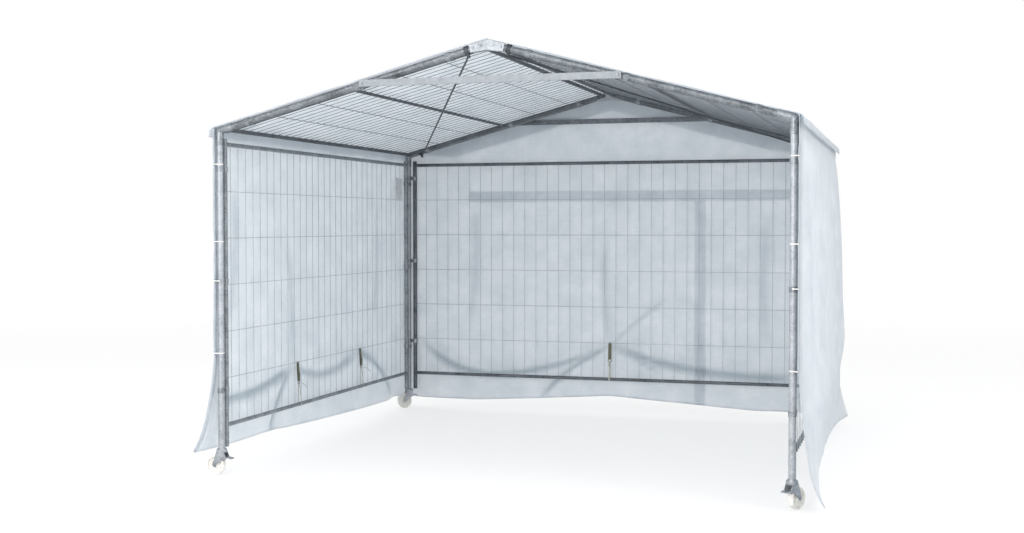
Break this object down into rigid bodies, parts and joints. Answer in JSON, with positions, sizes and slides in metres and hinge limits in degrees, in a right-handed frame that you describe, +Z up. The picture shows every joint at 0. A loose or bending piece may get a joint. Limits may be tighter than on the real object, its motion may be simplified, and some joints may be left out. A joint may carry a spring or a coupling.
{
  "type": "screen house",
  "caption": "Walk-in gabled shelter on braked castors: mesh panels between tube posts under a translucent sheet cover, open at the front.",
  "frame": {"origin": "on the ground, in the middle of the house's outer box and between its four posts", "axes": "+X to the right seen from the open front, +Y towards the back wall, +Z up"},
  "size_m": [3.939, 3.5584, 2.7005],
  "materials": {
    "cover": "translucent coated sheet",
    "mesh_wire": "dull galvanised",
    "tube": "dull galvanised",
    "fitting": "galvanised pressings",
    "bolt": "zinc plated",
    "castor_steel": "zinc plated",
    "wheel": "moulded nylon",
    "webbing": "woven",
    "toggle": "moulded",
    "tag": "plain sheet"
  },
  "bodies": {
    "house": {"post_front_left": "tube", "post_front_right": "tube", "post_back_left": "tube", "post_back_right": "tube", "rafter_front_left": "tube", "rafter_front_right": "tube", "rafter_back_left": "tube", "rafter_back_right": "tube", "eave_elbows": "fitting", "truss_bolts": "bolt", "collar_tie_front": "tube", "collar_tie_back": "tube", "ridge_gussets": "fitting", "left_wall_frame": "tube", "left_wall_mesh": "mesh_wire", "right_wall_frame": "tube", "right_wall_mesh": "mesh_wire", "back_wall_frame": "tube", "back_wall_mesh": "mesh_wire", "roof_left_frame": "tube", "roof_left_mesh": "mesh_wire", "roof_left_stiffener": "tube", "roof_right_frame": "tube", "roof_right_mesh": "mesh_wire", "roof_right_stiffener": "tube", "wall_clamps": "fitting", "wall_clamp_bolts": "bolt", "roof_clamps": "fitting", "roof_clamp_bolts": "bolt", "roof_brace_left": "tube", "roof_brace_right": "tube", "brace_hooks": "fitting", "castor_heads": "castor_steel", "cover_left": "cover", "cover_right": "cover", "cover_back": "cover", "cover_roof_left": "cover", "cover_roof_right": "cover", "tie_straps": "webbing", "strap_toggles": "toggle", "tag_plate": "tag"},
    "castor_front_left_swivel": {"castor_front_left_fork": "castor_steel", "castor_front_left_axle": "castor_steel"},
    "castor_front_left_roller": {"castor_front_left_wheel": "wheel"},
    "castor_front_left_brake": {"castor_front_left_pedal": "castor_steel"},
    "castor_front_right_swivel": {"castor_front_right_fork": "castor_steel", "castor_front_right_axle": "castor_steel"},
    "castor_front_right_roller": {"castor_front_right_wheel": "wheel"},
    "castor_front_right_brake": {"castor_front_right_pedal": "castor_steel"},
    "castor_back_left_swivel": {"castor_back_left_fork": "castor_steel", "castor_back_left_axle": "castor_steel"},
    "castor_back_left_roller": {"castor_back_left_wheel": "wheel"},
    "castor_back_left_brake": {"castor_back_left_pedal": "castor_steel"},
    "castor_back_right_swivel": {"castor_back_right_fork": "castor_steel", "castor_back_right_axle": "castor_steel"},
    "castor_back_right_roller": {"castor_back_right_wheel": "wheel"},
    "castor_back_right_brake": {"castor_back_right_pedal": "castor_steel"}
  },
  "joints": [
    {"name": "castor_front_left_turn", "type": "hinge", "parent": "house", "child": "castor_front_left_swivel", "pos_m": [-1.79, -1.6275, 0.15], "axis": [0, 0, 1], "continuous": true},
    {"name": "castor_front_left_roll", "type": "hinge", "parent": "castor_front_left_swivel", "child": "castor_front_left_roller", "pos_m": [-1.832, -1.6275, 0.0625], "axis": [0, -1, 0], "continuous": true},
    {"name": "castor_front_left_press", "type": "hinge", "parent": "castor_front_left_swivel", "child": "castor_front_left_brake", "pos_m": [-1.759, -1.6275, 0.113], "axis": [0, 1, 0], "range_deg": [0, 18]},
    {"name": "castor_front_right_turn", "type": "hinge", "parent": "house", "child": "castor_front_right_swivel", "pos_m": [1.79, -1.6275, 0.15], "axis": [0, 0, 1], "continuous": true},
    {"name": "castor_front_right_roll", "type": "hinge", "parent": "castor_front_right_swivel", "child": "castor_front_right_roller", "pos_m": [1.81226, -1.59188, 0.0625], "axis": [-0.848, 0.5299, 0], "continuous": true},
    {"name": "castor_front_right_press", "type": "hinge", "parent": "castor_front_right_swivel", "child": "castor_front_right_brake", "pos_m": [1.77357, -1.65379, 0.113], "axis": [0.848, -0.5299, 0], "range_deg": [0, 18]},
    {"name": "castor_back_left_turn", "type": "hinge", "parent": "house", "child": "castor_back_left_swivel", "pos_m": [-1.79, 1.6275, 0.15], "axis": [0, 0, 1], "continuous": true},
    {"name": "castor_back_left_roll", "type": "hinge", "parent": "castor_back_left_swivel", "child": "castor_back_left_roller", "pos_m": [-1.82398, 1.60281, 0.0625], "axis": [0.5878, -0.809, 0], "continuous": true},
    {"name": "castor_back_left_press", "type": "hinge", "parent": "castor_back_left_swivel", "child": "castor_back_left_brake", "pos_m": [-1.76492, 1.64572, 0.113], "axis": [-0.5878, 0.809, 0], "range_deg": [0, 18]},
    {"name": "castor_back_right_turn", "type": "hinge", "parent": "house", "child": "castor_back_right_swivel", "pos_m": [1.79, 1.6275, 0.15], "axis": [0, 0, 1], "continuous": true},
    {"name": "castor_back_right_roll", "type": "hinge", "parent": "castor_back_right_swivel", "child": "castor_back_right_roller", "pos_m": [1.7619, 1.65871, 0.0625], "axis": [-0.7431, -0.6691, 0], "continuous": true},
    {"name": "castor_back_right_press", "type": "hinge", "parent": "castor_back_right_swivel", "child": "castor_back_right_brake", "pos_m": [1.81074, 1.60446, 0.113], "axis": [0.7431, 0.6691, 0], "range_deg": [0, 18]}
  ]
}
